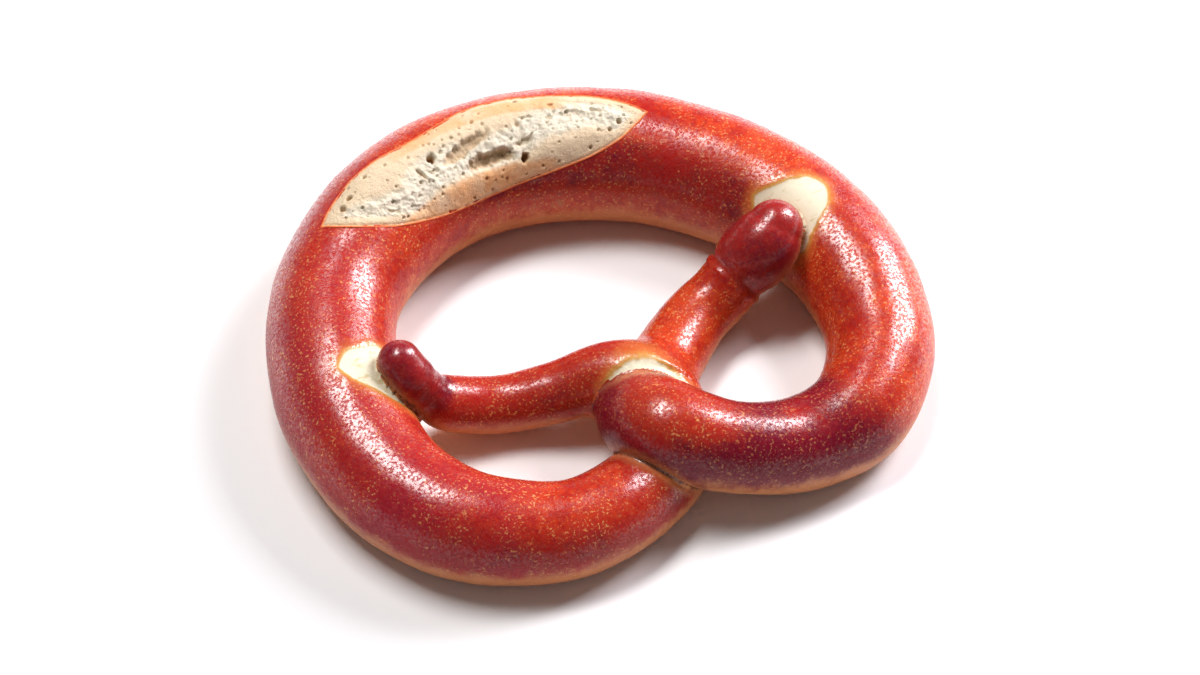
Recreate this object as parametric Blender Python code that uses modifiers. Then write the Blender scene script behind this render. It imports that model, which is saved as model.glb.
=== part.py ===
"""A soft pretzel: one rope of dough, laid in a loop, twisted, and baked as one piece.

Metres, +Z up. It lies on its flat underside, with the thick belly and its split at +Y and the
twist at -Y. The origin is on the resting plane, under the middle of the outline.
"""

from math import radians

import bmesh
import bpy
from mathutils import Matrix, Vector

NAME = "soft_pretzel"
MM = 0.001

# The rope's centre line, from the right arm's tip through the right loop, the belly and the left
# loop to the left arm's tip: x, y, height above the resting plane, and radius, in millimetres.
# At the twist the right strand lies over the left one, and then the left one over the right.
ROPE = (
    (49.5, -7.0, 24.5, 7.0),
    (45.5, -8.5, 21.0, 8.2),
    (41.0, -8.5, 16.5, 8.2),
    (33.0, -10.0, 10.5, 7.9),
    (24.0, -13.0, 8.0, 8.3),
    (10.0, -23.0, 8.0, 9.5),
    (-1.5, -34.0, 12.0, 11.0),
    (0.0, -46.5, 17.0, 12.0),
    (13.5, -56.0, 14.0, 11.0),
    (31.0, -59.0, 9.0, 11.7),
    (48.0, -56.0, 9.4, 12.8),
    (62.0, -40.0, 10.0, 13.6),
    (66.5, -16.0, 11.0, 14.8),
    (61.0, 6.5, 12.0, 15.8),
    (46.0, 28.5, 12.5, 16.7),
    (25.0, 44.5, 13.0, 17.3),
    (-3.0, 53.0, 13.0, 17.5),
    (-31.0, 48.0, 13.0, 17.5),
    (-54.0, 30.0, 12.0, 16.2),
    (-65.0, 3.0, 11.5, 15.9),
    (-65.0, -23.0, 10.5, 14.4),
    (-55.0, -44.0, 10.0, 13.4),
    (-36.0, -55.5, 9.0, 12.0),
    (-20.0, -56.5, 8.5, 11.3),
    (-2.0, -48.5, 6.0, 11.0),
    (5.0, -39.0, 9.0, 10.0),
    (-1.5, -25.5, 15.0, 8.8),
    (-17.0, -19.5, 10.0, 7.7),
    (-30.0, -15.0, 7.5, 7.2),
    (-41.5, -11.5, 10.5, 6.9),
    (-46.5, -10.0, 15.5, 5.9),
    (-50.0, -8.0, 21.0, 5.2),
    (-51.5, -5.0, 24.5, 4.7),
)
BELLY = slice(13, 20)  # the stations that the split lies on, with one more at each end

# The split's outline as seen square on: along X, and up the leaning plane, in millimetres.
# The first and last points are its sharp ends.
SPLIT_FAR_EDGE = ((-53.0, 47.5), (-40.0, 57.5), (-20.0, 63.0), (2.0, 65.5), (20.0, 60.0), (37.0, 46.0))
SPLIT_NEAR_EDGE = ((37.0, 46.0), (24.0, 41.0), (-4.0, 42.0), (-32.0, 40.0), (-53.0, 47.5))
SPLIT_LEAN = radians(21)  # how far the split's plane leans from level, towards the twist
SPLIT_DEPTH = 2.5 * MM
SPLIT_REACH = 40 * MM  # from the plane through the origin to well outside the crust

FUSE_CELL = 1.2 * MM
SOFTEN_PASSES = 4
KEPT_FACES = 0.075
TRAY = (200 * MM, 180 * MM, 20 * MM)

CRUST_COLOUR = (0.36, 0.035, 0.02, 1.0)
CRUST_ROUGHNESS = 0.3
CRUST_METALLIC = 0.0


def collection(name):
    made = bpy.data.collections.new(name)
    bpy.context.scene.collection.children.link(made)
    return made


def rope_mesh(name, stations, shrink=0.0):
    """A closed mesh of the rope through these stations, its radius less by shrink millimetres."""
    curve = bpy.data.curves.new(name, "CURVE")
    curve.dimensions = "3D"
    curve.resolution_u = 8
    curve.bevel_depth = MM  # each station's own radius multiplies this
    curve.bevel_resolution = 6
    curve.use_fill_caps = True
    spline = curve.splines.new("BEZIER")
    spline.radius_interpolation = "CARDINAL"
    spline.bezier_points.add(len(stations) - 1)
    for point, (x, y, z, radius) in zip(spline.bezier_points, stations):
        point.co = Vector((x, y, z)) * MM
        point.radius = radius - shrink
        point.handle_left_type = "AUTO"
        point.handle_right_type = "AUTO"
    return welded_mesh(name, curve)


def welded_mesh(name, curve):
    """The curve's evaluated mesh with its caps welded on. The curve itself is removed."""
    guide = bpy.data.objects.new(name, curve)
    bpy.context.scene.collection.objects.link(guide)
    graph = bpy.context.evaluated_depsgraph_get()
    mesh = bpy.data.meshes.new_from_object(guide.evaluated_get(graph))
    bpy.data.objects.remove(guide)
    work = bmesh.new()
    work.from_mesh(mesh)
    bmesh.ops.remove_doubles(work, verts=work.verts, dist=0.01 * MM)
    bmesh.ops.recalc_face_normals(work, faces=work.faces)
    work.to_mesh(mesh)
    work.free()
    mesh.name = name
    return mesh


def add_round_tips(mesh):
    """A ball at each end of the rope, so that the arms end round."""
    work = bmesh.new()
    work.from_mesh(mesh)
    for x, y, z, radius in (ROPE[0], ROPE[-1]):
        place = Matrix.Translation(Vector((x, y, z)) * MM)
        bmesh.ops.create_uvsphere(work, u_segments=24, v_segments=16, radius=radius * MM, matrix=place)
    work.to_mesh(mesh)
    work.free()


def crust_material():
    material = bpy.data.materials.new("baked_crust")
    material.use_nodes = True
    shader = material.node_tree.nodes["Principled BSDF"]
    shader.inputs["Base Color"].default_value = CRUST_COLOUR
    shader.inputs["Roughness"].default_value = CRUST_ROUGHNESS
    shader.inputs["Metallic"].default_value = CRUST_METALLIC
    return material


def tray_mesh():
    """A slab whose top is the resting plane, wider than the pretzel."""
    work = bmesh.new()
    bmesh.ops.create_cube(work, size=1.0)
    bmesh.ops.scale(work, verts=work.verts, vec=TRAY)
    bmesh.ops.translate(work, verts=work.verts, vec=(0.0, 0.0, -TRAY[2] / 2))
    mesh = bpy.data.meshes.new("tray")
    work.to_mesh(mesh)
    work.free()
    return mesh


def linked(name, mesh, home):
    made = bpy.data.objects.new(name, mesh)
    home.objects.link(made)
    return made


def cut(target, cutter, name):
    """Takes the cutter out of the target, and hides the cutter."""
    boolean = target.modifiers.new(name, "BOOLEAN")
    boolean.operation = "DIFFERENCE"
    boolean.solver = "EXACT"
    boolean.object = cutter
    cutter.hide_render = True
    cutter.display_type = "WIRE"


def lens_mesh():
    """The split's outline drawn through the belly as a prism, square to the leaning plane."""
    curve = bpy.data.curves.new("split_outline", "CURVE")
    curve.dimensions = "2D"
    curve.fill_mode = "BOTH"
    curve.resolution_u = 6
    curve.extrude = SPLIT_REACH / 2
    outline = SPLIT_FAR_EDGE + SPLIT_NEAR_EDGE[1:-1]
    ends = (SPLIT_FAR_EDGE[0], SPLIT_FAR_EDGE[-1])
    spline = curve.splines.new("BEZIER")
    spline.use_cyclic_u = True
    spline.bezier_points.add(len(outline) - 1)
    for point, place in zip(spline.bezier_points, outline):
        point.co = Vector((place[0], place[1], 0.0)) * MM
        kind = "VECTOR" if place in ends else "AUTO"
        point.handle_left_type = kind
        point.handle_right_type = kind
    mesh = welded_mesh("split_outline", curve)
    mesh.transform(Matrix.Rotation(SPLIT_LEAN, 4, "X") @ Matrix.Translation((0, 0, SPLIT_REACH / 2)))
    return mesh


def main():
    for old in list(bpy.data.objects):
        bpy.data.objects.remove(old)
    parts = collection("pretzel")
    cutters = collection("cutters")

    rope = rope_mesh("rope", ROPE)
    add_round_tips(rope)
    rope.materials.append(crust_material())
    rope.shade_smooth()
    pretzel = linked(NAME, rope, parts)

    # The strands that cross or touch fuse into one body, with softened creases.
    fuse = pretzel.modifiers.new("fuse", "REMESH")
    fuse.mode = "VOXEL"
    fuse.voxel_size = FUSE_CELL
    soften = pretzel.modifiers.new("soften", "SMOOTH")
    soften.iterations = SOFTEN_PASSES
    thin = pretzel.modifiers.new("thin", "DECIMATE")
    thin.ratio = KEPT_FACES

    # The split: a lens outline cut down to a floor that follows the belly just under the crust.
    lens = linked("split_lens", lens_mesh(), cutters)
    floor = linked("split_floor", rope_mesh("split_floor", ROPE[BELLY], SPLIT_DEPTH / MM), cutters)
    cut(lens, floor, "keep_the_skin_only")
    cut(pretzel, lens, "split")

    # What would hang below the resting plane is baked flat against the tray.
    cut(pretzel, linked("tray", tray_mesh(), cutters), "flat_underside")


main()
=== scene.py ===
"""A soft pretzel with a glossy lye crust and a burst belly, on a pale studio floor."""

from math import cos, radians, sin

import bmesh
import bpy
import numpy as np
from bpy.props import FloatProperty, FloatVectorProperty, PointerProperty
from mathutils import Matrix, Vector, noise


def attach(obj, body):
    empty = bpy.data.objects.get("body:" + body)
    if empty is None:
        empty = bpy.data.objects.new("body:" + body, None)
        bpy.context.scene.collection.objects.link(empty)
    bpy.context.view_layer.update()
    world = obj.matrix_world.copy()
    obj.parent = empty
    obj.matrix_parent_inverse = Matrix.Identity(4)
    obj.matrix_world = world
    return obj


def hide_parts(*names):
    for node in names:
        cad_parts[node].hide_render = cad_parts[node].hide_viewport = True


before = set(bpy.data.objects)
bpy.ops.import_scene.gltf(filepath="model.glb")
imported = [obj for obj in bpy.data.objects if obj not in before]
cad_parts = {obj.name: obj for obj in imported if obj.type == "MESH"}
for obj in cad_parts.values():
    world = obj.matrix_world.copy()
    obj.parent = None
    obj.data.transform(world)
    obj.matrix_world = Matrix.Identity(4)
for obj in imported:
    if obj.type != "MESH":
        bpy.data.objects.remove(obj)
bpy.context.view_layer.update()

bl_info = {
    "name": "Soft Pretzel",
    "version": (1, 0, 0),
    "blender": (4, 5, 0),
    "location": "View3D > Sidebar > Pretzel",
    "description": "Builds a twisted lye pretzel with a split belly",
    "category": "Add Mesh",
}

MM = 0.001
NODE = "soft_pretzel"
BODY = "root"

# How the dough's skin is rounded and searched, in millimetres.
SAME_STRAND = 30.0  # dough nearer than this along the rope belongs to the same strand
CREASE_ROUND = 1.2
FUSED_ROUND = 4.8  # more rounding where two strands baked into one
FOOT_ROUND = 3.0
SEARCH_CHUNK = 4096  # points searched at once

FAR_OUTSIDE = -9.0  # the inside distance of a place that can't be inside

# The crumb's grid, and how it sits in the split, in millimetres.
CRUMB_COLUMNS = 420
CRUMB_ROWS = 112
CRUMB_OVERLAP = 0.36
CRUMB_SINK = 2.4
BED_DEPTH = 4.6

# The view: degrees from the front and over the floor, and the aim's shift for each metre of distance.
VIEW_AZIMUTH = -26.4
VIEW_ELEVATION = 51.0
VIEW_TARGET = (2.5, -7.5, 15.0)
AIM_SHIFT = (0.0021179, 0.0068832)
LENS = 85
SENSOR = 36
FLOOR_HALF = 2.5

# The rope of dough, from the right arm's tip through the right loop, the belly and the left loop
# to the left arm's tip: x, y, height over the resting plane and radius, in millimetres.
ROPE = (
    (49.5, -7.0, 24.5, 7.0),
    (45.5, -8.5, 21.0, 8.2),
    (41.0, -8.5, 16.5, 8.2),
    (33.0, -10.0, 10.5, 7.9),
    (24.0, -13.0, 8.0, 8.3),
    (10.0, -23.0, 8.0, 9.5),
    (-1.5, -34.0, 12.0, 11.0),
    (0.0, -46.5, 17.0, 12.0),
    (13.5, -56.0, 14.0, 11.0),
    (31.0, -59.0, 9.0, 11.7),
    (48.0, -56.0, 9.4, 12.8),
    (62.0, -40.0, 10.0, 13.6),
    (66.5, -16.0, 11.0, 14.8),
    (61.0, 6.5, 12.0, 15.8),
    (46.0, 28.5, 12.5, 16.7),
    (25.0, 44.5, 13.0, 17.3),
    (-3.0, 53.0, 13.0, 17.5),
    (-31.0, 48.0, 13.0, 17.5),
    (-54.0, 30.0, 12.0, 16.2),
    (-65.0, 3.0, 11.5, 15.9),
    (-65.0, -23.0, 10.5, 14.4),
    (-55.0, -44.0, 10.0, 13.4),
    (-36.0, -55.5, 9.0, 12.0),
    (-20.0, -56.5, 8.5, 11.3),
    (-2.0, -48.5, 6.0, 11.0),
    (5.0, -39.0, 9.0, 10.0),
    (-1.5, -25.5, 15.0, 8.8),
    (-17.0, -19.5, 10.0, 7.7),
    (-30.0, -15.0, 7.5, 7.2),
    (-41.5, -11.5, 10.5, 6.9),
    (-46.5, -10.0, 15.5, 5.9),
    (-50.0, -8.0, 21.0, 5.2),
    (-51.5, -5.0, 24.5, 4.7),
)

# Stretches of the rope, in millimetres along it from the right arm's tip.
RIGHT_KNOB = (0, 13)
RIGHT_ARM = (28, 62)
UPPER_BULGE = (66, 106)  # the right strand, where it lies over the left one
RING = (150, 425)
LEFT_HUMP = (498, 528)  # the left strand, where it climbs over the right arm
LEFT_KNOB = (562, 574)

# The split's two edges: millimetres along the rope, and degrees round it from the outer side.
SPLIT_FAR = (
    (242.5, 88), (249, 80), (257, 73), (268, 69.5), (279, 67), (288, 69), (296, 75),
    (304, 77.5), (312, 72.5), (320, 67), (329, 66), (335, 68),
)
SPLIT_NEAR = (
    (242.5, 88), (244.5, 102), (248.5, 119), (256, 134), (264.5, 143.5), (275, 151), (288, 156),
    (302, 155.5), (314, 147), (325, 129), (331.5, 105), (334.2, 84), (335, 68),
)
SPLIT_MIDDLE = (287.0, 112.0)  # where the crumb's own flat coordinates start
BELLY_RADIUS = 17.3

# Bare dough where the arms' ends drew the crust apart, as outlines in plan.
RIGHT_PATCH = (
    (50, 4.5), (54.5, 4.2), (59, 3.4), (63.5, 2.2), (66.3, -1), (65.7, -5), (63.3, -7.8), (60.3, -9.8),
    (57.4, -11.8), (54, -13.5), (50, -8), (48, -2),
)
LEFT_PATCH = (
    (-65.4, -1.6), (-62.5, 1.8), (-58.5, 2.4), (-54, 3), (-51, 0), (-51, -8), (-52, -14), (-54.6, -13.4),
    (-57, -11.8), (-60, -9.3), (-63.2, -6.2),
)

# Torn places in the crumb, in its flat coordinates: millimetres along the belly towards the left
# loop, and round it towards the inner side.
HOLLOWS = (  # middle, half length, half width, slope, depth
    ((0.0, 4.0), 8.6, 2.0, 0.0, 1.9),
    ((6.5, -0.8), 8.8, 1.8, 0.23, 1.4),
    ((16.3, -2.1), 1.6, 1.2, 0.3, 2.6),
    ((-10.7, 5.7), 1.5, 1.3, 0.0, 2.6),
    ((21.3, -0.3), 2.1, 0.7, -1.4, 1.6),
    ((-26.0, -4.5), 5.0, 1.2, 0.05, 0.5),
    ((33.0, 1.5), 6.0, 1.3, -0.45, 0.4),
)
HOLES = (  # middle, radius
    ((41.9, -9.5), 1.0), ((38.6, -9.6), 1.0), ((31.7, -10.0), 0.7), ((26.4, -8.0), 0.5),
    ((1.2, -6.5), 0.55), ((-1.6, -8.7), 0.45), ((-11.3, -10.8), 0.7), ((-29.9, 4.6), 0.6),
    ((-37.3, -2.9), 0.9), ((-35.0, -0.3), 0.7), ((19.6, 11.9), 0.6),
)
CRACKS = (
    ((-8.8, 2.4), (-12.9, 1.8), (-13.8, 0.1), (-17.9, -2.7), (-21.8, -5.8), (-26.4, -6.3), (-33.3, -5.6)),
    ((42.0, -3.8), (37.4, 0.2), (32.8, 3.3), (28.7, 5.0), (23.9, 3.3), (20.1, 1.4), (12.0, 0.5)),
    ((-9.5, -3.0), (-14.5, -4.8), (-19.0, -7.5)),
)
TORN_BELT = (
    (44.0, -5.0), (36.0, 1.0), (28.0, 3.5), (20.0, 0.5), (10.0, 1.0), (0.0, 2.5), (-9.0, 1.5),
    (-18.0, -2.5), (-28.0, -5.0), (-38.0, -4.0),
)


def through(a, b, c, d, t):
    """The point at t on the smooth curve from b to c, whose neighbours are a and d."""
    return 0.5 * (2 * b + (c - a) * t + (2 * a - 5 * b + 4 * c - d) * t**2 + (3 * b - a - 3 * c + d) * t**3)


def smooth_step(value, low, high):
    t = np.clip((value - low) / (high - low), 0, 1)
    return t * t * (3 - 2 * t)


def within(value, stretch, soft):
    """1 in the stretch, falling to 0 over the soft length outside it."""
    low, high = stretch
    return smooth_step(value, low - soft, low) * (1 - smooth_step(value, high, high + soft))


def soft_min(a, b, reach):
    """The lesser of two distances, rounded where they meet, and the share of the first."""
    share = np.clip(0.5 + 0.5 * (b - a) / reach, 0, 1)
    return b + (a - b) * share - reach * share * (1 - share), share


def unit(vectors):
    return vectors / np.linalg.norm(vectors, axis=-1, keepdims=True)


def waves(points, size, octaves=2, seed=0.0):
    """Smooth noise of about -1 to 1 at these places, with features of about this size."""
    shift = Vector((seed, -2 * seed, 0.5 * seed))
    flat = np.zeros((len(points), 3))
    flat[:, : points.shape[1]] = points / size
    return np.array([noise.fractal(Vector(place) + shift, 1.0, 2.0, octaves) for place in flat])


def line_distance(points, line, closed=False):
    """How far each point is from a line of points."""
    line = np.asarray(line, float)
    ends = np.roll(line, -1, axis=0) if closed else line[1:]
    best = np.full(len(points), np.inf)
    for start, end in zip(line, ends):
        edge = end - start
        t = np.clip(((points - start) @ edge) / (edge @ edge), 0, 1)
        best = np.minimum(best, np.linalg.norm(points - start - t[:, None] * edge, axis=1))
    return best


def inside_distance(points, outline):
    """How far each flat point is inside a closed outline; negative outside."""
    outline = np.asarray(outline, float)
    inside = np.zeros(len(points), bool)
    for start, end in zip(outline, np.roll(outline, -1, axis=0)):
        if start[1] != end[1]:
            spans = (start[1] > points[:, 1]) != (end[1] > points[:, 1])
            lean = (end[0] - start[0]) / (end[1] - start[1])
            inside ^= spans & (points[:, 0] < start[0] + lean * (points[:, 1] - start[1]))
    best = line_distance(points, outline, closed=True)
    return np.where(inside, best, -best)


def rounded(outline, steps=8):
    """A closed outline drawn as one smooth curve through its points."""
    points = np.asarray(outline, float)
    neighbours = [np.roll(points, -k, axis=0) for k in (-1, 0, 1, 2)]
    rows = [through(*neighbours, t) for t in np.arange(steps) / steps]
    return np.stack(rows, 1).reshape(-1, 2)


def edge_angle(edge, length):
    """The angle of one edge of the split at these lengths, on a smooth curve through its points."""
    knots = np.array(edge, float)
    ends = np.vstack([2 * knots[0] - knots[1], knots, 2 * knots[-1] - knots[-2]])
    fine = np.array([through(*ends[i : i + 4], t) for i in range(len(knots) - 1) for t in np.arange(12) / 12])
    fine = np.vstack([fine, knots[-1]])
    return np.interp(length, np.maximum.accumulate(fine[:, 0]), fine[:, 1])


class Rope:
    """The rope's centre line in fine steps: places, radii, lengths along it and section axes."""

    def __init__(self, stations, steps):
        ends = np.array([stations[0], *stations, stations[-1]], float)
        ends[0] = 2 * ends[1] - ends[2]
        ends[-1] = 2 * ends[-2] - ends[-3]
        rows = [through(*ends[i : i + 4], t) for i in range(len(ends) - 3) for t in np.arange(steps) / steps]
        rows = np.vstack([rows, ends[-2]])
        self.places = rows[:, :3]
        self.radii = rows[:, 3]
        self.lengths = np.append(0, np.cumsum(np.linalg.norm(np.diff(self.places, axis=0), axis=1)))
        self.along = unit(np.gradient(self.places, axis=0))
        self.outward = unit(np.cross(self.along, (0, 0, 1)))
        self.up = np.cross(self.outward, self.along)

    def gap(self, points, samples):
        """From each point to the dough's round skin near a sample: distance, way out, length along."""
        offset = points - self.places[samples]
        ahead = np.clip((offset * self.along[samples]).sum(1), -1, 1)
        ahead[(samples == 0) & (ahead < 0)] = 0
        ahead[(samples == len(self.radii) - 1) & (ahead > 0)] = 0
        away = offset - ahead[:, None] * self.along[samples]
        length = self.lengths[samples] + ahead
        distance = np.linalg.norm(away, axis=1)
        return distance - np.interp(length, self.lengths, self.radii), away / distance[:, None], length

    def nearest(self, points, stretch=None, other_than=None):
        """The nearest sample to each point, within a stretch or on another strand than these samples."""
        low, high = stretch or (-1, self.lengths[-1] + 1)
        kept = np.flatnonzero((self.lengths >= low) & (self.lengths <= high))
        centres = self.places[kept]
        squares = (centres**2).sum(1)
        found = np.empty(len(points), int)
        for start in range(0, len(points), SEARCH_CHUNK):
            part = slice(start, start + SEARCH_CHUNK)
            square = (points[part] ** 2).sum(1)[:, None] - 2 * points[part] @ centres.T + squares
            gap = np.sqrt(np.maximum(square, 0)) - self.radii[kept]
            if other_than is not None:
                away = np.abs(self.lengths[kept] - self.lengths[other_than[part], None])
                gap[away < SAME_STRAND] = np.inf
            found[part] = kept[gap.argmin(1)]
        return found

    def angle(self, points, samples):
        """The angle of each point round the rope, in degrees from the outer side."""
        offset = points - self.places[samples]
        sideways = (offset * self.outward[samples]).sum(1)
        upwards = (offset * self.up[samples]).sum(1)
        return np.degrees(np.arctan2(upwards, sideways))

    def skin(self, length, angle):
        """The place on the round skin at this length and angle, and the way out there."""

        def at(rows):
            return np.stack([np.interp(length, self.lengths, column) for column in rows.T], -1)

        turn = np.radians(angle)[..., None]
        way = np.cos(turn) * at(self.outward) + np.sin(turn) * at(self.up)
        return at(self.places) + way * np.interp(length, self.lengths, self.radii)[..., None], way


STRAND = Rope(ROPE, steps=24)


def lumps(points, size):
    """The slow unevenness of hand-rolled dough, in millimetres."""
    return size * (waves(points, 19.0, 1, 3.0) + 0.3 * waves(points, 6.5, 1, 11.0))


def split_flat(length, angle):
    """A place on the belly in the crumb's flat coordinates."""
    middle_length, middle_angle = SPLIT_MIDDLE
    return np.stack([length - middle_length, np.radians(angle - middle_angle) * BELLY_RADIUS], -1)


def split_outline():
    """The split's closed outline in the crumb's flat coordinates."""
    far = np.linspace(SPLIT_FAR[0][0], SPLIT_FAR[-1][0], 80)
    near = np.linspace(SPLIT_NEAR[-1][0], SPLIT_NEAR[0][0], 120)
    near_side = split_flat(near, edge_angle(SPLIT_NEAR, near))
    return np.vstack([split_flat(far, edge_angle(SPLIT_FAR, far)), near_side[1:-1]])


class Wire:
    """A socket whose arithmetic adds Math nodes."""

    def __init__(self, graph, socket):
        self.graph = graph
        self.socket = socket

    def __getitem__(self, name):
        return Wire(self.graph, self.socket.node.outputs[name])

    def __add__(self, other):
        return self.graph.maths("ADD", self, other)

    def __sub__(self, other):
        return self.graph.maths("SUBTRACT", self, other)

    def __rsub__(self, other):
        return self.graph.maths("SUBTRACT", other, self)

    def __mul__(self, other):
        return self.graph.maths("MULTIPLY", self, other)

    def __truediv__(self, other):
        return self.graph.maths("DIVIDE", self, other)

    def __pow__(self, other):
        return self.graph.maths("POWER", self, other)

    __radd__ = __add__
    __rmul__ = __mul__


class Graph:
    """A node tree that is written as expressions."""

    def __init__(self, tree):
        self.tree = tree
        tree.nodes.clear()

    def node(self, kind, settings=(), sockets=(), output=0):
        """Adds a node, with its settings first, and returns a wire from one of its outputs."""
        node = self.tree.nodes.new(kind)
        for name, value in dict(settings).items():
            setattr(node, name, value)
        for key, value in dict(sockets).items():
            if isinstance(value, Wire):
                self.tree.links.new(value.socket, node.inputs[key])
            else:
                node.inputs[key].default_value = value
        return Wire(self, node.outputs[output]) if len(node.outputs) else None

    def maths(self, operation, *values):
        return self.node("ShaderNodeMath", {"operation": operation}, dict(enumerate(values)))

    def vector(self, operation, *values, output=0):
        return self.node("ShaderNodeVectorMath", {"operation": operation}, dict(enumerate(values)), output)

    def step(self, value, low, high):
        """0 below low and 1 above high, smoothly between."""
        sockets = {"Value": value, "From Min": low, "From Max": high}
        return self.node("ShaderNodeMapRange", {"interpolation_type": "SMOOTHSTEP"}, sockets)


class Finish(Graph):
    """A material's nodes, on the piece's own Object coordinates in millimetres."""

    def __init__(self, name):
        self.material = bpy.data.materials.new(name)
        self.material.use_nodes = True
        super().__init__(self.material.node_tree)
        coordinates = self.node("ShaderNodeTexCoord")["Object"]
        self.place = self.vector("MULTIPLY", coordinates, (1000.0, 1000.0, 1000.0))

    def attribute(self, name):
        return self.node("ShaderNodeAttribute", {"attribute_name": name})["Fac"]

    def noise(self, size, detail=2.0, roughness=0.5, place=None):
        """Noise around 0, of about -1 to 1, with features of this many millimetres."""
        sockets = {
            "Vector": place or self.place,
            "Scale": 1 / size,
            "Detail": detail,
            "Roughness": roughness,
        }
        return (self.node("ShaderNodeTexNoise", (), sockets)["Fac"] - 0.5) * 4

    def cells(self, size, place):
        """Distance to scattered points about this many millimetres apart, in those units."""
        return self.node("ShaderNodeTexVoronoi", (), {"Vector": place, "Scale": 1 / size})["Distance"]

    def wandering(self, amount, size):
        """The place pushed about by this many millimetres, so that a pattern on it isn't regular."""
        sockets = {"Vector": self.place, "Scale": 1 / size, "Detail": 1.0}
        drift = self.node("ShaderNodeTexNoise", (), sockets)["Color"]
        return self.vector("MULTIPLY_ADD", drift, (4 * amount,) * 3, self.place)

    def hairlines(self):
        """Short, fine, wandering lines."""
        ridge = self.maths("ABSOLUTE", self.noise(4.5, 3.0, 0.6))
        return (1 - self.step(ridge, 0.0, 0.07)) * self.step(self.noise(6.0, 2.0), 0.5, 0.9)

    def blend(self, low, high, share):
        sockets = {0: share, 6: low, 7: high}
        return self.node("ShaderNodeMix", {"data_type": "RGBA"}, sockets, output=2)

    def surface(self, height, **sockets):
        """Ends the material in one shader, its bump given in millimetres of height."""
        bump = {"Strength": 1.0, "Distance": MM, "Height": height}
        sockets["Normal"] = self.node("ShaderNodeBump", (), bump)
        values = {name.replace("_", " "): value for name, value in sockets.items()}
        shader = self.node("ShaderNodeBsdfPrincipled", (), values)
        self.node("ShaderNodeOutputMaterial", (), {"Surface": shader})
        return self.material


class Growth(Graph):
    """A geometry node tree with named inputs, and how its result becomes a plain mesh."""

    def __init__(self, name, **sockets):
        self.group = bpy.data.node_groups.new(name, "GeometryNodeTree")
        super().__init__(self.group)
        interface = self.group.interface
        interface.new_socket("Geometry", in_out="INPUT", socket_type="NodeSocketGeometry")
        interface.new_socket("Geometry", in_out="OUTPUT", socket_type="NodeSocketGeometry")
        self.keys = {}
        for label, kind in sockets.items():
            socket = interface.new_socket(label, in_out="INPUT", socket_type="NodeSocket" + kind)
            self.keys[label] = socket.identifier
        self.input = self.node("NodeGroupInput")

    def give(self, label):
        return self.input[label]

    def finish(self, geometry):
        """Ends the tree in real geometry that carries the material."""
        real = self.node("GeometryNodeRealizeInstances", (), {"Geometry": geometry})
        sockets = {"Geometry": real, "Material": self.give("Material")}
        self.node("NodeGroupOutput", (), {0: self.node("GeometryNodeSetMaterial", (), sockets)})

    def grow(self, mesh, after=(), **values):
        """The plain mesh that the tree, and the modifiers after it, make from this one."""
        holder = bpy.data.objects.new(mesh.name, mesh)
        bpy.context.scene.collection.objects.link(holder)
        modifier = holder.modifiers.new(self.group.name, "NODES")
        modifier.node_group = self.group
        for label, value in values.items():
            modifier[self.keys[label]] = value
        for kind, settings in after:
            extra = holder.modifiers.new(kind, kind)
            for name, value in settings.items():
                setattr(extra, name, value)
        evaluated = holder.evaluated_get(bpy.context.evaluated_depsgraph_get())
        grown = bpy.data.meshes.new_from_object(evaluated)
        holder.modifiers.clear()
        bpy.data.objects.remove(holder)
        bpy.data.meshes.remove(mesh)
        bpy.data.node_groups.remove(self.group)
        return grown


def store(mesh, name, values):
    layer = mesh.attributes.get(name) or mesh.attributes.new(name, "FLOAT", "POINT")
    layer.data.foreach_set("value", np.asarray(values, np.float32))


def read_places(mesh):
    """The mesh's vertices in millimetres."""
    flat = np.empty(3 * len(mesh.vertices))
    mesh.vertices.foreach_get("co", flat)
    return flat.reshape(-1, 3) / MM


def write_places(mesh, places):
    mesh.vertices.foreach_set("co", (places * MM).ravel())
    mesh.update()


def add_piece(name, mesh, material):
    """Puts a finished mesh in the scene as a piece of the pretzel."""
    mesh.name = name
    mesh.materials.clear()
    mesh.materials.append(material)
    mesh.shade_smooth()
    piece = bpy.data.objects.new(name, mesh)
    bpy.context.scene.collection.objects.link(piece)
    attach(piece, BODY)
    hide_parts(NODE)
    return piece


# The crust's shape


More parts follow.
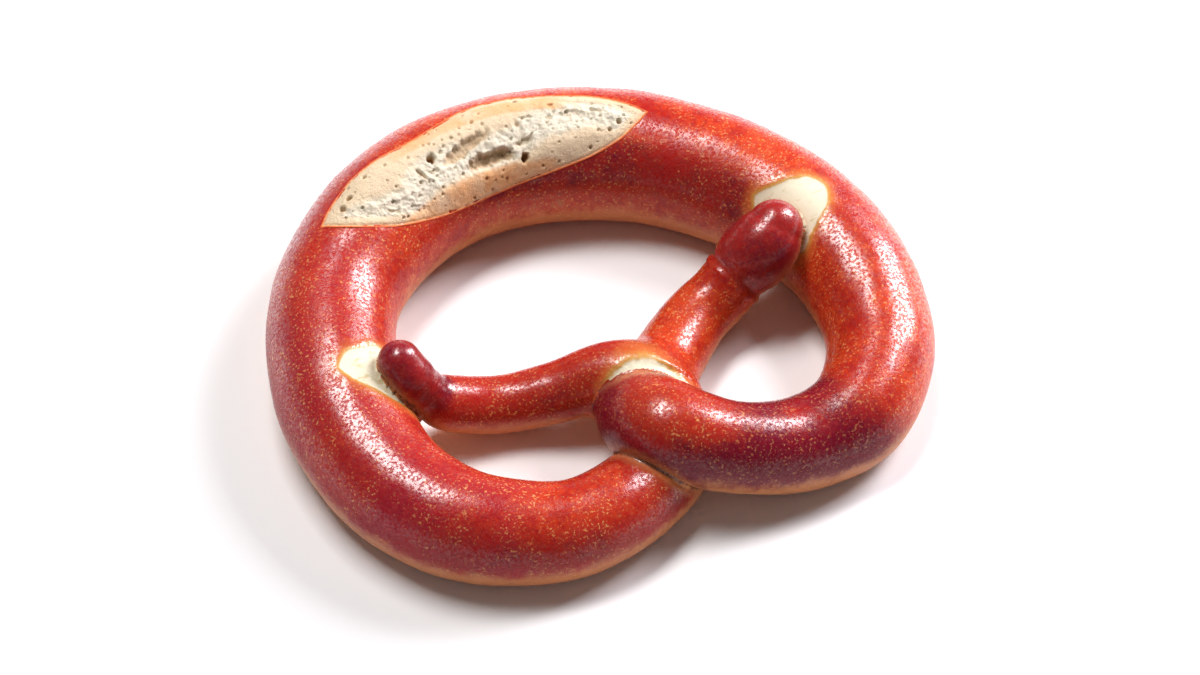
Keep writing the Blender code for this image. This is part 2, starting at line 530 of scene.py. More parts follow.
def swept_rope(shape, material):
    """The rope as one closed skin: geometry nodes sweep it and round its ends, then a remesh fuses it."""
    path = bpy.data.meshes.new("rope_path")
    count = len(STRAND.radii)
    path.from_pydata(STRAND.places * MM, [(i, i + 1) for i in range(count - 1)], [])
    store(path, "thickness", STRAND.radii * MM)

    tree = Growth("rolled_rope", Sides="Int", Fullness="Float", Material="Material")
    curve = tree.node("GeometryNodeMeshToCurve", (), {"Mesh": tree.give("Geometry")})
    thickness = tree.node("GeometryNodeInputNamedAttribute", (), {"Name": "thickness"})["Attribute"]
    thickness = thickness * tree.give("Fullness")
    sockets = {"Resolution": tree.give("Sides"), "Radius": 1.0}
    circle = tree.node("GeometryNodeCurvePrimitiveCircle", (), sockets)
    sockets = {"Curve": curve, "Profile Curve": circle, "Scale": thickness, "Fill Caps": True}
    tube = tree.node("GeometryNodeCurveToMesh", (), sockets)
    ball = tree.node("GeometryNodeMeshIcoSphere", (), {"Radius": 1.0, "Subdivisions": 4})
    tips = tree.node("GeometryNodeCurveEndpointSelection")
    sockets = {"Points": curve, "Selection": tips, "Instance": ball, "Scale": thickness}
    ends = tree.node("GeometryNodeInstanceOnPoints", (), sockets)
    joined = tree.node("GeometryNodeJoinGeometry", (), {0: tube})
    tree.tree.links.new(ends.socket, joined.socket.node.inputs[0])
    tree.finish(joined)
    remesh = ("REMESH", {"mode": "VOXEL", "voxel_size": shape.grain})
    return tree.grow(path, [remesh], Sides=48, Fullness=shape.fullness, Material=material)


def dough_gap(points, lump):
    """How far each point is over the dough's skin, the way out, and where it is on the rope."""
    first = STRAND.nearest(points)
    second = STRAND.nearest(points, other_than=first)
    gap_1, way_1, length_1 = STRAND.gap(points, first)
    gap_2, way_2, length_2 = STRAND.gap(points, second)
    fused = np.maximum(
        within(length_1, LEFT_HUMP, 8) * within(length_2, RIGHT_ARM, 8),
        within(length_2, LEFT_HUMP, 8) * within(length_1, RIGHT_ARM, 8),
    )
    gap, share = soft_min(gap_1, gap_2, CREASE_ROUND + FUSED_ROUND * fused)
    way = unit(share[:, None] * way_1 + (1 - share[:, None]) * way_2)
    flat, share = soft_min(lump - gap, points[:, 2], FOOT_ROUND)
    way = unit(share[:, None] * way + (1 - share[:, None]) * np.array([0, 0, -1.0]))
    return -flat, way, {"sample": first, "length": length_1, "other": gap_2 - gap_1, "fused": fused}


def settle(mesh, unevenness, rounds=3):
    """Moves the vertices onto the dough's skin and returns them, the way out and their places on the rope."""
    points = read_places(mesh)
    lump = lumps(points, unevenness)
    for _ in range(rounds):
        gap, way, where = dough_gap(points, lump)
        points = points - gap[:, None] * way
    return points, way, where


def refine_creases(mesh, near_crease):
    """Splits the faces where strands meet, so that the creases stay sharp."""
    work = bmesh.new()
    work.from_mesh(mesh)
    work.verts.ensure_lookup_table()
    marked = [face for face in work.faces if any(near_crease[vertex.index] for vertex in face.verts)]
    edges = {edge for face in marked for edge in face.edges}
    bmesh.ops.subdivide_edges(work, edges=list(edges), cuts=1, use_grid_fill=True)
    bmesh.ops.triangulate(work, faces=[face for face in work.faces if len(face.verts) > 4])
    work.to_mesh(mesh)
    work.free()


def patch_distances(points, where):
    """How far each point is inside the bare dough and inside the twist's pale strip; negative outside."""
    on_ring = within(where["length"], RING, 5) * smooth_step(points[:, 2], 12, 14)
    flat = points[:, :2] + 0.35 * np.stack([waves(points, 2.6, 2, seed) for seed in (5.0, 9.0)], -1)
    right = inside_distance(flat, rounded(RIGHT_PATCH))
    left = inside_distance(flat, rounded(LEFT_PATCH))
    patch = np.where(on_ring > 0.5, np.maximum(right, left), FAR_OUTSIDE)

    bulge = STRAND.gap(points, STRAND.nearest(points, UPPER_BULGE))[0]
    strip_width = 2.4 - 3.2 * ((points[:, 0] - 1.0) / 12.0) ** 2 - 2.5 * smooth_step(-points[:, 1], 37, 41)
    strip_width += 0.35 * waves(points, 2.5, 2, 4.0)
    beside = (1 - within(where["length"], UPPER_BULGE, 2)) * smooth_step(points[:, 2], 9, 12)
    strip = np.where(beside > 0.5, strip_width - bulge, FAR_OUTSIDE)
    return patch, strip


def crust_relief(points, where, patch, strip, groove):
    """Heights over the plain skin, in millimetres: seams, the knobs and their necks, bare dough."""
    length = where["length"]
    crease = (1 - smooth_step(where["other"], 0.0, 1.6)) * (1 - where["fused"])
    crease *= 1 - smooth_step(strip, -1.0, 0.3)
    height = -groove * crease
    neck = 15.3 + 0.8 * waves(points, 5.0, 1, 2.0)
    near_neck = within(length, (8, 22), 1)
    height -= near_neck * 0.75 * np.exp(-(((length - neck) / 0.8) ** 2))
    height -= near_neck * 0.3 * np.exp(-(((length - neck - 2.6) / 0.6) ** 2))
    height += near_neck * 0.35 * np.exp(-(((length - neck - 1.3) / 1.1) ** 2))
    height -= 0.6 * np.exp(-(((length - 561.5) / 2.0) ** 2))
    height += 0.9 * within(length, (3, 10), 5) + 0.8 * within(length, (569, 580), 4)
    bare = np.maximum(patch, strip)
    height -= 0.3 * smooth_step(bare, -0.5, 0.6)
    height += 0.12 * np.exp(-(((bare + 0.7) / 0.5) ** 2))
    return height


def split_bed(points, where):
    """How deep the crust lies under the crumb at each point."""
    angle = STRAND.angle(points, where["sample"])
    turned = np.mod(angle + 180 - 112, 360) - 180 + 112
    flat = split_flat(where["length"], turned)
    on_belly = (np.abs(flat[:, 0]) < 60) & (np.abs(flat[:, 1]) < 25)
    inside = np.full(len(points), FAR_OUTSIDE)
    inside[on_belly] = inside_distance(flat[on_belly], split_outline())
    return BED_DEPTH * smooth_step(inside, 0.7, 5.0)


def crust_mesh(shape, material):
    mesh = swept_rope(shape, material)
    points, _, where = settle(mesh, shape.unevenness / MM, 2)
    write_places(mesh, points)
    refine_creases(mesh, (where["other"] < 2.2) & (where["fused"] < 0.5))
    points, way, where = settle(mesh, shape.unevenness / MM)

    patch, strip = patch_distances(points, where)
    height = crust_relief(points, where, patch, strip, shape.crease_depth / MM) - split_bed(points, where)
    points = points + height[:, None] * way
    points[:, 2] = np.maximum(points[:, 2], 0)
    write_places(mesh, points)

    store(mesh, "dough", np.maximum(patch, strip))
    closed = 6 * where["fused"] + 4 * smooth_step(strip, -1.0, 0.0)
    store(mesh, "crease", where["other"] + closed)
    store_bake(mesh, points, way, where)
    return mesh


def store_bake(mesh, points, way, where):
    """Stores where the crust is darker, from longer baking and from painted shade on sides turned from the
    lights; where it is paler, partly pale low crust and partly painted light bounced from the floor; where it
    is golden; and where it shines.
    """
    length = where["length"]
    angle = STRAND.angle(points, where["sample"])
    inner = smooth_step(np.abs(angle), 115, 160) * (angle > 0)
    deep = 0.55 * within(length, RIGHT_KNOB, 6) + 0.5 * within(length, LEFT_KNOB, 5)
    # Painted shade: the next lines darken the bulge's lower part, the belly's inner side and the lower left
    # loop's outer side, which face away from the lights.
    deep += 0.8 * within(length, (72, 125), 12) * (1 - smooth_step(points[:, 2], 17, 28))
    shaded_belly_side = smooth_step(angle, 100, 130) * (1 - smooth_step(angle, 150, 178))
    deep += 0.5 * within(length, (215, 300), 25) * shaded_belly_side
    front = (1 - smooth_step(angle, 20, 85)) * (angle > -90)
    deep += 0.45 * within(length, (425, 480), 20) * front
    deep += 0.3 * within(length, (505, 556), 10) + 0.3 * within(length, (66, 100), 8)
    store(mesh, "deep", np.clip(deep, 0, 1))
    # Paler low sides and undersides: partly pale low crust, partly painted light bounced up from the floor.
    low = 1 - smooth_step(points[:, 2], 2.0, 13.0)
    under = smooth_step(-way[:, 2], -0.5, 0.4)
    store(mesh, "pale_flank_and_bounce_light", np.clip(0.7 * low + 0.6 * under, 0, 1))
    store(mesh, "upper", smooth_step(way[:, 2], 0.25, 0.7))
    gold = 0.3 * within(length, (165, 215), 20) * smooth_step(points[:, 2], 12, 22)
    gold += 0.5 * within(length, (245, 330), 20) * smooth_step(angle, 150, 178)
    gold += 0.35 * within(length, (345, 440), 15) * inner
    store(mesh, "gold", np.clip(gold, 0, 1))
    store(mesh, "knob", np.maximum(within(length, RIGHT_KNOB, 4), within(length, LEFT_KNOB, 3)))


# The crumb's shape


def crumb_grid(columns, rows, overlap):
    """Flat coordinates over the split, a little past its outline, column by column from end to end."""
    eased = (1 - np.cos(np.pi * np.arange(columns + 1) / columns)) / 2
    share = 0.65 * np.arange(columns + 1) / columns + 0.35 * eased
    start, end = SPLIT_FAR[0][0] - overlap, SPLIT_FAR[-1][0] + overlap
    length = start + (end - start) * share
    spread = np.degrees(overlap / BELLY_RADIUS)
    far = edge_angle(SPLIT_FAR, length) - spread
    near = edge_angle(SPLIT_NEAR, length) + spread
    across = np.linspace(0, 1, rows + 1)
    angle = far[:, None] + (near - far)[:, None] * across
    return np.repeat(length, rows + 1), angle.ravel()


def crumb_relief(flat, inside, crown):
    """The torn crumb's height over the round skin, how deep it is in a hollow, and how torn it is."""
    wander = 0.55 * np.stack([waves(flat, 2.3, 3, seed) for seed in (1.0, 7.0)], -1)
    warped = flat + wander
    rough = waves(flat, 1.5, 4, 13.0)
    coarse = waves(flat, 4.2, 3, 17.0)
    belt = line_distance(warped, TORN_BELT)
    torn = (1 - smooth_step(belt, 2.4, 6.5)) * smooth_step(inside, 1.5, 4.0)

    dent = np.zeros(len(flat))
    for (along, across), long_half, wide_half, slope, depth in HOLLOWS:
        turn = cos(slope), sin(slope)
        x = (warped[:, 0] - along) * turn[0] + (warped[:, 1] - across) * turn[1]
        y = (warped[:, 1] - across) * turn[0] - (warped[:, 0] - along) * turn[1]
        reach = np.hypot(x / long_half, y / wide_half) + 0.12 * rough
        dent = np.maximum(dent, depth * (1 - smooth_step(reach, 0.55, 1.15)))
    for middle, radius in HOLES:
        reach = np.linalg.norm(flat + 0.3 * wander - np.array(middle), axis=1) / radius
        dent = np.maximum(dent, 1.5 * radius * (1 - smooth_step(reach, 0.45, 1.1)))
    for number, line in enumerate(CRACKS):
        width = 0.75 + 0.55 * waves(flat, 5.0, 1, 23.0 + number)
        reach = line_distance(warped, line) / np.maximum(width, 0.15)
        broken = smooth_step(waves(flat, 2.8, 2, 41.0 + number), -0.15, 0.35)
        dent = np.maximum(dent, 0.8 * broken * (1 - smooth_step(reach, 0.3, 1.1)))

    height = crown * smooth_step(inside, 0.4, 6.5) - 0.55 * torn
    height += torn * (0.48 * coarse + 0.3 * rough) + (1 - torn) * (0.1 * coarse + 0.05 * rough)
    height -= dent * smooth_step(inside, 0.2, 1.4)
    height += 0.16 - 1.5 * (1 - smooth_step(inside, -0.36, 0.14))
    height -= 0.2 * np.exp(-(((inside - 0.75) / 0.35) ** 2))
    return height, dent, torn


def crumb_shell(places, columns, rows, sink):
    """The grid's mesh, closed below by strips that lie inside the crust."""
    wide = rows + 1
    top = np.arange((columns + 1) * wide).reshape(columns + 1, wide)
    quads = np.stack([top[:-1, :-1], top[1:, :-1], top[1:, 1:], top[:-1, 1:]], -1).reshape(-1, 4)
    far = top.size + np.arange(columns + 1)
    near = far + columns + 1
    sides = [(top[:, 0], far), (near, top[:, -1]), (far, near)]
    faces = quads.tolist()
    for one, other in sides:
        faces += np.stack([one[:-1], other[:-1], other[1:], one[1:]], -1).tolist()
    faces += [[*top[0], near[0], far[0]], [*top[-1][::-1], far[-1], near[-1]]]
    mesh = bpy.data.meshes.new("crumb")
    mesh.from_pydata((np.vstack([places, sink]) * MM).tolist(), [], faces)
    work = bmesh.new()
    work.from_mesh(mesh)
    bmesh.ops.recalc_face_normals(work, faces=work.faces)
    work.to_mesh(mesh)
    work.free()
    return mesh


def crumb_mesh(shape, material):
    columns, rows = CRUMB_COLUMNS, CRUMB_ROWS
    length, angle = crumb_grid(columns, rows, CRUMB_OVERLAP)
    flat = split_flat(length, angle)
    inside = inside_distance(flat, split_outline())
    height, dent, torn = crumb_relief(flat, inside, shape.crown / MM)
    skin, way = STRAND.skin(length, angle)
    height = height + lumps(skin, shape.unevenness / MM)
    grid = np.arange(len(length)).reshape(columns + 1, rows + 1)
    rim = np.concatenate([grid[:, 0], grid[:, -1]])
    mesh = crumb_shell(skin + height[:, None] * way, columns, rows, skin[rim] - CRUMB_SINK * way[rim])

    hidden = len(rim)
    store(mesh, "inside", np.append(inside, np.full(hidden, -1.0)))
    store(mesh, "dent", np.append(dent, np.zeros(hidden)))
    store(mesh, "torn", np.append(torn, np.zeros(hidden)))
    store(mesh, "toast", np.append(toasted(flat), np.zeros(hidden)))
    return pitted(mesh, material, shape)


def toasted(flat):
    """Where the crumb browned: two bands between the torn belt and the crust."""
    along, across = flat.T
    outer = within(across, (-10.5, -7.0), 1.8) * within(along, (-20, 21), 8)
    inner = within(across, (7.5 - 0.02 * along, 11.5), 2.4) * within(along, (-18, 40), 6)
    return np.clip(outer + inner, 0, 1) * (0.75 + 0.25 * waves(flat, 5.0, 2, 31.0))


def pitted(mesh, material, shape):
    """The crumb with its pores: geometry nodes scatter them and press each one into the surface."""
    sockets = {"Density": "Float", "Seed": "Int", "Smallest": "Float", "Largest": "Float", "Depth": "Float"}
    tree = Growth("crumb_pores", **sockets, Material="Material")
    surface = tree.give("Geometry")
    inside = tree.node("GeometryNodeInputNamedAttribute", (), {"Name": "inside"})["Attribute"]
    open_crumb = tree.step(inside, 0.9, 1.6)
    sockets = {"Mesh": surface, "Density": open_crumb * tree.give("Density"), "Seed": tree.give("Seed")}
    points = tree.node("GeometryNodeDistributePointsOnFaces", (), sockets)["Points"]
    draw = tree.node("FunctionNodeRandomValue", (), {2: 0.0, 3: 1.0, "Seed": tree.give("Seed")}, output=1)
    spread = tree.give("Largest") - tree.give("Smallest")
    reach = tree.give("Smallest") + draw**3.0 * spread
    sockets = {"Geometry": points, "Name": "reach", "Value": reach}
    points = tree.node("GeometryNodeStoreNamedAttribute", (), sockets)

    position = tree.node("GeometryNodeInputPosition")
    index = tree.node("GeometryNodeSampleNearest", (), {"Geometry": points})
    sockets = {"Geometry": points, "Value": position, "Index": index}
    middle = tree.node("GeometryNodeSampleIndex", {"data_type": "FLOAT_VECTOR"}, sockets)
    stored = tree.node("GeometryNodeInputNamedAttribute", (), {"Name": "reach"})["Attribute"]
    sockets = {"Geometry": points, "Value": stored, "Index": index}
    nearest_reach = tree.node("GeometryNodeSampleIndex", (), sockets)
    distance = tree.vector("DISTANCE", position, middle, output="Value")
    pit = (1 - tree.step(distance / nearest_reach, 0.3, 1.0)) * open_crumb
    normal = tree.node("GeometryNodeInputNormal")
    drop = tree.vector("MULTIPLY", normal, (-1.0, -1.0, -1.0))
    deep = pit * nearest_reach * tree.give("Depth")
    scaled = tree.node("ShaderNodeVectorMath", {"operation": "SCALE"}, {0: drop, "Scale": deep})
    dented = tree.node("GeometryNodeSetPosition", (), {"Geometry": surface, "Offset": scaled})
    sockets = {"Geometry": dented, "Name": "pore", "Value": pit}
    tree.finish(tree.node("GeometryNodeStoreNamedAttribute", (), sockets))
    per_area = shape.pore_density / MM**2
    sizes = {"Density": per_area, "Smallest": shape.pore_size * 0.45, "Largest": shape.pore_size * 1.6}
    return tree.grow(mesh, Seed=4, Depth=1.1, Material=material, **sizes)


# The finishes


def crust_finish(colours):
    """Glossy lye crust: red-brown, deeper where it baked longer, speckled, with fine pale flecks; with
    painted shade on sides turned from the lights and in the seams, painted light bounced onto the low sides,
    and a painted cool reflection on the left.
    """
    finish = Finish("lye_crust")
    broad = finish.noise(26.0, 2.0)
    cloud = finish.noise(7.0, 4.0, 0.6)
    mottle = finish.noise(1.7, 4.0, 0.65)
    deep = finish.attribute("deep")
    pale_flank_and_bounce_light = finish.attribute("pale_flank_and_bounce_light")
    dough = finish.attribute("dough")
    crease = finish.attribute("crease")

    warm = finish.step(broad * 0.4 + cloud * 0.4 + mottle * 0.4, -0.55, 0.6)
    colour = finish.blend((*colours.crust, 1), (*colours.crust_bright, 1), warm)
    # Painted reflection: the left side is tinted magenta as if a cool light were reflected there.
    left = finish.node("ShaderNodeSeparateXYZ", (), {"Vector": finish.place})["X"]
    cool_reflection = finish.step(left * -0.01 + finish.noise(14.0, 3.0, 0.6) * 0.35, 0.1, 1.0)
    colour = finish.blend(colour, (*colours.magenta_painted_reflection, 1), cool_reflection * 0.7)
    golden = finish.step(finish.attribute("gold") + cloud * 0.3 + mottle * 0.35, 0.35, 1.15)
    colour = finish.blend(colour, (*colours.gold, 1), golden * 0.75)
    # Darker where the crust baked longer, and painted shade where the deep attribute marks sides facing away
    # from the lights.
    dark_bake_and_shade = finish.step(deep + broad * 0.2 + cloud * 0.2 + mottle * 0.2, 0.1, 0.85)
    colour = finish.blend(colour, (*colours.deep_crust_and_shade, 1), dark_bake_and_shade)
    specks = finish.step(finish.noise(0.8, 3.0, 0.7), 0.1, 1.0)
    colour = finish.blend(colour, (*colours.deep_crust_and_shade, 1), specks * 0.6)

    blister = finish.cells(3.4, finish.wandering(0.9, 2.2))
    fleck = (1 - finish.step(blister, 0.03, 0.13)) * finish.step(finish.noise(11.0, 1.0), -0.1, 0.5)
    hair = finish.hairlines()
    # Paler low sides and undersides: partly pale low crust, partly painted light bounced up from the floor.
    pale = finish.step(pale_flank_and_bounce_light + cloud * 0.22 + mottle * 0.16, 0.2, 0.85)
    colour = finish.blend(colour, (*colours.pale_flank_and_bounce_light, 1), pale * 0.8)
    colour = finish.blend(colour, (*colours.fleck, 1), fleck * 0.55 + hair * 0.5)

    glint = finish.step(finish.noise(0.65, 2.0, 0.6), 0.25, 0.8) * finish.step(cloud + broad * 0.6, -0.7, 0.4)
    glint = glint * (1 - dark_bake_and_shade * 0.5) * (1 - finish.attribute("knob") * 0.85)
    colour = finish.blend(colour, (*colours.fleck, 1), glint * 0.75)
    beside = 1 - finish.step(crease + mottle * 0.5, 0.4, 3.6)
    colour = finish.blend(colour, (*colours.pale_flank_and_bounce_light, 1), beside * 0.6)
    # Painted shade: near-black at the bottom of the seams between strands, where shade falls.
    seam = 1 - finish.step(crease + mottle * 0.2, 0.1, 0.75)
    colour = finish.blend(colour, (*colours.seam, 1), seam * 0.8)
    halo = finish.step(dough + mottle * 0.4 + cloud * 0.6, -4.0, -0.6)
    colour = finish.blend(colour, (*colours.gold, 1), halo * 0.6)
    rim = finish.step(dough + mottle * 0.2, -1.4, 0.0)
    colour = finish.blend(colour, (*colours.dough_rim, 1), rim)
    bare = finish.step(dough + mottle * 0.1, -0.25, 0.35)
    fibre = finish.noise(1.6, 3.0, 0.6, place=finish.vector("MULTIPLY", finish.place, (0.35, 1.0, 1.0)))
    streak = finish.step(fibre + cloud * 0.4, 0.1, 1.3)
    dough_tone = finish.blend((*colours.dough, 1), (*colours.dough_shade, 1), streak)
    colour = finish.blend(colour, dough_tone, bare)

    grain = finish.cells(0.62, finish.wandering(0.25, 0.9))
    height = finish.noise(0.5, 2.0, 0.6) * 0.018 + grain * 0.03 + finish.noise(2.2, 2.0) * 0.04
    height = height + finish.noise(9.0, 1.0) * 0.06
    height = height * (1 - bare * 0.75) - fleck * 0.03 - hair * 0.03
    gloss = 0.27 + cloud * 0.03 + finish.noise(0.8, 2.0) * 0.03 + pale_flank_and_bounce_light * 0.1
    roughness = gloss * (1 - bare) + bare * 0.55
    sparkle = finish.step(finish.noise(0.75, 2.0, 0.6), -0.3, 0.35)
    coat = (1 - bare) * (0.12 + 0.88 * finish.attribute("upper")) * sparkle
    gloss = {"Coat_Weight": coat, "Coat_Roughness": 0.23, "Coat_IOR": 1.65, "Specular_IOR_Level": 0.2}
    return finish.surface(height, Base_Color=colour, Roughness=roughness, **gloss)


def crumb_finish(colours):
    """Dry white crumb, toasted in two bands and at its edge, with painted shade in its hollows, pores and
    deepest holes.
    """
    finish = Finish("torn_crumb")
    inside = finish.attribute("inside")
    dent = finish.attribute("dent")
    torn = finish.attribute("torn")
    toast = finish.attribute("toast")
    pore = finish.attribute("pore")
    cloud = finish.noise(6.0, 3.0, 0.6)
    mottle = finish.noise(1.3, 4.0, 0.7)

    open_torn = finish.step(torn + cloud * 0.25, 0.2, 1.1)
    colour = finish.blend((*colours.crumb, 1), (*colours.crumb_grey, 1), open_torn)
    toasted_share = finish.step(toast + cloud * 0.2 + mottle * 0.12, 0.15, 1.2)
    colour = finish.blend(colour, (*colours.toast, 1), toasted_share)
    # Painted shade: the crumb darkens in its hollows, where shade falls.
    painted_hollow_shade = finish.step(dent + mottle * 0.15, 0.15, 1.6)
    colour = finish.blend(colour, (*colours.painted_hollow_shade, 1), painted_hollow_shade * 0.85)
    # Painted shade at the bottoms of the pores and of the deepest holes.
    colour = finish.blend(colour, (*colours.pore, 1), finish.step(pore, 0.2, 0.95) * 0.7)
    colour = finish.blend(colour, (*colours.pore, 1), finish.step(dent, 1.7, 2.3) * 0.8)
    browned = 1 - finish.step(inside + mottle * 0.2 + cloud * 0.25, 0.2, 1.9)
    colour = finish.blend(colour, (*colours.toast, 1), browned * 0.75)
    rim = 1 - finish.step(inside + mottle * 0.12, 0.3, 0.75)
    colour = finish.blend(colour, (*colours.split_rim, 1), rim)
    height = mottle * 0.09 + finish.noise(0.35, 3.0, 0.7) * 0.05 + cloud * 0.05
    return finish.surface(height, Base_Color=colour, Roughness=0.75, IOR=1.4)


# What a user can change


def length_setting(name, description, default, least=0.0):
    facts = {"name": name, "description": description, "default": default, "min": least}
    return FloatProperty(unit="LENGTH", precision=5, **facts)


def number_setting(name, description, default):
    return FloatProperty(name=name, description=description, default=default, min=0)


def colour_setting(name, description, default):
    facts = {"name": name, "description": description, "default": default}
    return FloatVectorProperty(subtype="COLOR", size=3, min=0, max=1, **facts)


class PretzelShape(bpy.types.PropertyGroup):
    grain: length_setting("Grain", "Size of the remeshed crust's faces", 1.0 * MM, least=0.8 * MM)
    fullness: number_setting("Fullness", "Thickness of the rolled rope before it settles", 1.0)
    unevenness: length_setting("Unevenness", "How far the hand-rolled dough strays from round", 0.35 * MM)
    crease_depth: length_setting("Crease depth", "Depth of the seams where strands touch", 0.5 * MM)
    crown: length_setting("Crown", "How far the burst crumb stands over the belly", 0.9 * MM)
    pore_size: length_setting("Pore size", "Middle radius of the crumb's pores", 0.42 * MM, least=0.1 * MM)
    pore_density: number_setting("Pore density", "Pores in each square millimetre of crumb", 0.16)


class PretzelColours(bpy.types.PropertyGroup):
    crust: colour_setting("Crust", "Main colour of the crust", (0.37, 0.011, 0.007))
    crust_bright: colour_setting("Bright crust", "Thin, red-orange crust", (0.59, 0.052, 0.009))
    # Also the colour of the painted shade on sides facing away from the lights.
    deep_crust_and_shade: colour_setting("Deep crust", "Crust that baked longest", (0.17, 0.003, 0.015))
    # Partly pale low crust, partly painted light bounced up from the floor.
    pale_flank_and_bounce_light: colour_setting("Flank", "Pale low sides, which stayed soft", (0.60, 0.24, 0.10))
    fleck: colour_setting("Fleck", "Fine pale blisters and lines", (0.82, 0.40, 0.14))
    dough: colour_setting("Dough", "Bare dough that the crust drew away from", (0.76, 0.70, 0.52))
    dough_shade: colour_setting("Dough shade", "Yellow streaks in the bare dough", (0.52, 0.40, 0.16))
    gold: colour_setting("Gold", "Crust that only just browned", (0.62, 0.17, 0.035))
    # Painted reflection of a cool light, laid on the crust's left side.
    magenta_painted_reflection: colour_setting("Magenta", "Cooler crust on the left side", (0.30, 0.008, 0.030))
    # Painted shade for the bottom of the seams between strands.
    seam: colour_setting("Seam", "Bottom of the seams between strands", (0.050, 0.008, 0.006))
    dough_rim: colour_setting("Dough rim", "Edge between bare dough and crust", (0.58, 0.30, 0.07))
    crumb: colour_setting("Crumb", "Inside of the bread", (0.69, 0.54, 0.36))
    crumb_grey: colour_setting("Torn crumb", "Crumb that tore open", (0.69, 0.63, 0.50))
    toast: colour_setting("Toast", "Crumb that browned", (0.74, 0.37, 0.15))
    # Painted shade in the crumb's hollows.
    painted_hollow_shade: colour_setting("Hollow", "Crumb deep in a hollow", (0.50, 0.34, 0.19))
    # Painted shade at the bottom of a pore or a deep hole.
    pore: colour_setting("Pore", "Bottom of a pore", (0.36, 0.17, 0.07))
    split_rim: colour_setting("Split rim", "The crust's torn edge", (0.66, 0.13, 0.03))


class PretzelStage(bpy.types.PropertyGroup):
    floor: colour_setting("Floor", "Colour of the floor", (0.93, 0.93, 0.935))
    side_light: number_setting("Side light", "Power of the large light on the right", 18.5)
    top_light: number_setting("Top light", "Power of the overhead light", 10.5)
    surround: number_setting("Surround", "Brightness of the room", 0.09)
    distance: length_setting("Distance", "From the camera to the pretzel", 0.7, least=0.3)


# Making it


class PRETZEL_OT_crust(bpy.types.Operator):
    """Rolls, twists and bakes the crust"""

    bl_idname = "pretzel.crust"
    bl_label = "Add Crust"

    def execute(self, context):
        scene = context.scene
        material = crust_finish(scene.pretzel_colours)
        add_piece("crust", crust_mesh(scene.pretzel_shape, material), material)
        return {"FINISHED"}


class PRETZEL_OT_crumb(bpy.types.Operator):
    """Fills the split in the belly with torn crumb"""

    bl_idname = "pretzel.crumb"
    bl_label = "Add Crumb"

    def execute(self, context):
        scene = context.scene
        material = crumb_finish(scene.pretzel_colours)
        add_piece("crumb", crumb_mesh(scene.pretzel_shape, material), material)
        return {"FINISHED"}


def facing(place, target):
    """Where an object stands to look from a place at a target."""
    way = (target - place).normalized()
    right = way.cross(Vector((0, 0, 1))).normalized()
    up = right.cross(way)
    return Matrix.Translation(place) @ Matrix((right, up, -way)).transposed().to_4x4()


def from_angles(azimuth, elevation):
    """A direction: degrees from +X towards +Y, and degrees over the floor."""
    turn, rise = radians(azimuth), radians(elevation)
    return Vector((cos(turn) * cos(rise), sin(turn) * cos(rise), sin(rise)))


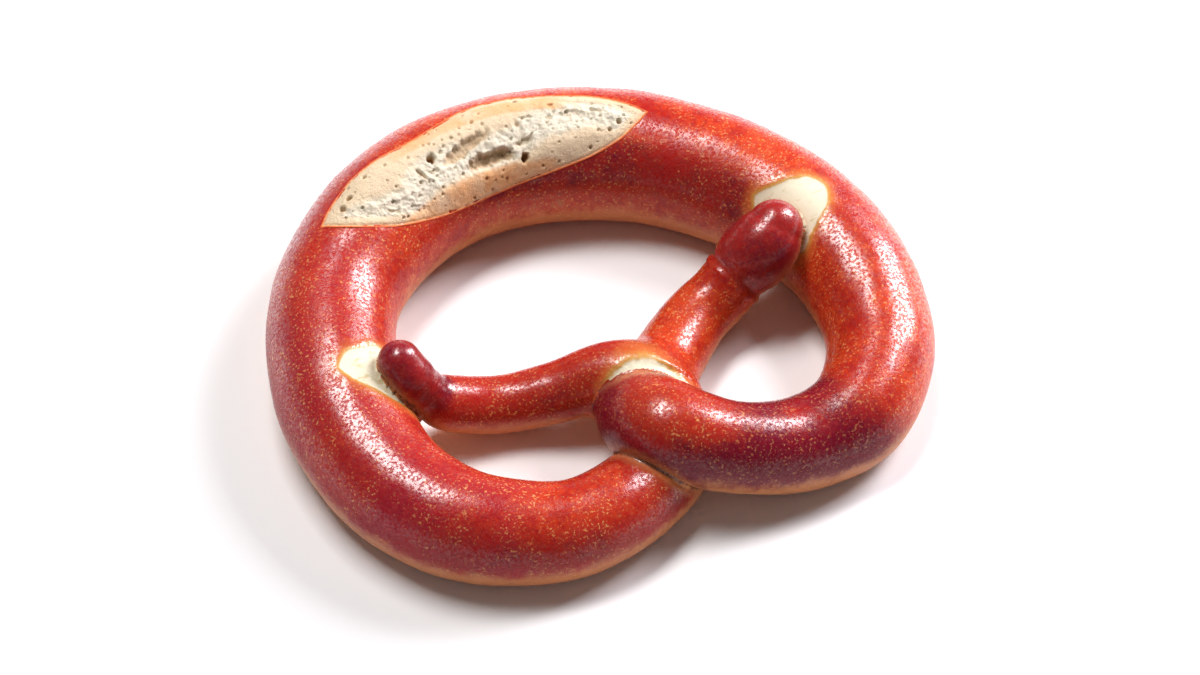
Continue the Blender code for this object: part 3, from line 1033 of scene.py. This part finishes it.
class PRETZEL_OT_stage(bpy.types.Operator):
    """Adds the floor, the soft lights, the room and the camera"""

    bl_idname = "pretzel.stage"
    bl_label = "Add Stage"

    def execute(self, context):
        stage = context.scene.pretzel_stage
        self.add_floor(context, stage)
        self.add_light(context, "side_light", (12, 33), 1.1, (0.42, 0.68), stage.side_light, (1.0, 0.95, 1.0))
        self.add_light(context, "top_light", (105, 68), 1.1, (0.6, 0.3), stage.top_light, (1.0, 0.98, 0.97))
        self.add_room(context, stage)
        self.add_camera(context, stage)
        return {"FINISHED"}

    def add_floor(self, context, stage):
        finish = Finish("pale_floor")
        tone = finish.step(finish.noise(400.0, 1.0), -1.0, 1.0)
        dim = tuple(0.985 * value for value in stage.floor)
        colour = finish.blend((*dim, 1), (*stage.floor, 1), tone)
        material = finish.surface(finish.noise(5.0, 2.0) * 0.01, Base_Color=colour, Roughness=0.8)
        mesh = bpy.data.meshes.new("floor")
        signs = ((-1, -1), (1, -1), (1, 1), (-1, 1))
        mesh.from_pydata([(x * FLOOR_HALF, y * FLOOR_HALF, 0) for x, y in signs], [], [(0, 1, 2, 3)])
        mesh.materials.append(material)
        floor = bpy.data.objects.new("floor", mesh)
        context.scene.collection.objects.link(floor)

    def add_light(self, context, name, angles, distance, size, power, colour):
        light = bpy.data.lights.new(name, "AREA")
        light.shape = "RECTANGLE"
        light.size, light.size_y = size
        light.energy = power
        light.color = colour
        lamp = bpy.data.objects.new(name, light)
        lamp.matrix_world = facing(from_angles(*angles) * distance, Vector((0, 0, 0)))
        context.scene.collection.objects.link(lamp)

    def add_room(self, context, stage):
        """A room that is bright near the floor and dimmer overhead."""
        world = bpy.data.worlds.new("room")
        world.use_nodes = True
        room = Graph(world.node_tree)
        way = room.node("ShaderNodeTexCoord")["Generated"]
        height = room.node("ShaderNodeSeparateXYZ", (), {"Vector": way})["Z"]
        strength = stage.surround + (1 - room.step(height, 0.1, 0.3)) * 0.6
        background = room.node("ShaderNodeBackground", (), {"Color": (1, 1, 1, 1), "Strength": strength})
        room.node("ShaderNodeOutputWorld", (), {"Surface": background})
        context.scene.world = world

    def add_camera(self, context, stage):
        camera = bpy.data.cameras.new("camera")
        camera.lens = LENS
        camera.sensor_width = SENSOR
        camera.clip_start = 0.01
        target = Vector(VIEW_TARGET) * MM
        place = target + from_angles(VIEW_AZIMUTH - 90, VIEW_ELEVATION) * stage.distance
        view = facing(place, target)
        right, up = view.col[0].xyz, view.col[1].xyz
        aim = target - (right * AIM_SHIFT[0] + up * AIM_SHIFT[1]) * stage.distance
        holder = bpy.data.objects.new("camera", camera)
        holder.matrix_world = facing(place, aim)
        context.scene.collection.objects.link(holder)
        context.scene.camera = holder
        context.scene.view_settings.view_transform = "Standard"


class PRETZEL_PT_panel(bpy.types.Panel):
    """Lists the pretzel's pieces and settings"""

    bl_idname = "PRETZEL_PT_panel"
    bl_label = "Soft Pretzel"
    bl_space_type = "VIEW_3D"
    bl_region_type = "UI"
    bl_category = "Pretzel"

    def draw(self, context):
        for operator in OPERATORS:
            self.layout.operator(operator.bl_idname)
        for name in GROUPS:
            settings = getattr(context.scene, name)
            for field in settings.__annotations__:
                self.layout.prop(settings, field)


OPERATORS = (PRETZEL_OT_crust, PRETZEL_OT_crumb, PRETZEL_OT_stage)
GROUPS = {"pretzel_shape": PretzelShape, "pretzel_colours": PretzelColours, "pretzel_stage": PretzelStage}
CLASSES = (*GROUPS.values(), *OPERATORS, PRETZEL_PT_panel)


def register():
    for kind in CLASSES:
        bpy.utils.register_class(kind)
    for name, group in GROUPS.items():
        setattr(bpy.types.Scene, name, PointerProperty(type=group))


def unregister():
    for name in GROUPS:
        delattr(bpy.types.Scene, name)
    for kind in reversed(CLASSES):
        bpy.utils.unregister_class(kind)


def main():
    register()
    bpy.ops.pretzel.crust()
    bpy.ops.pretzel.crumb()
    bpy.ops.pretzel.stage()


if __name__ == "__main__":
    main()
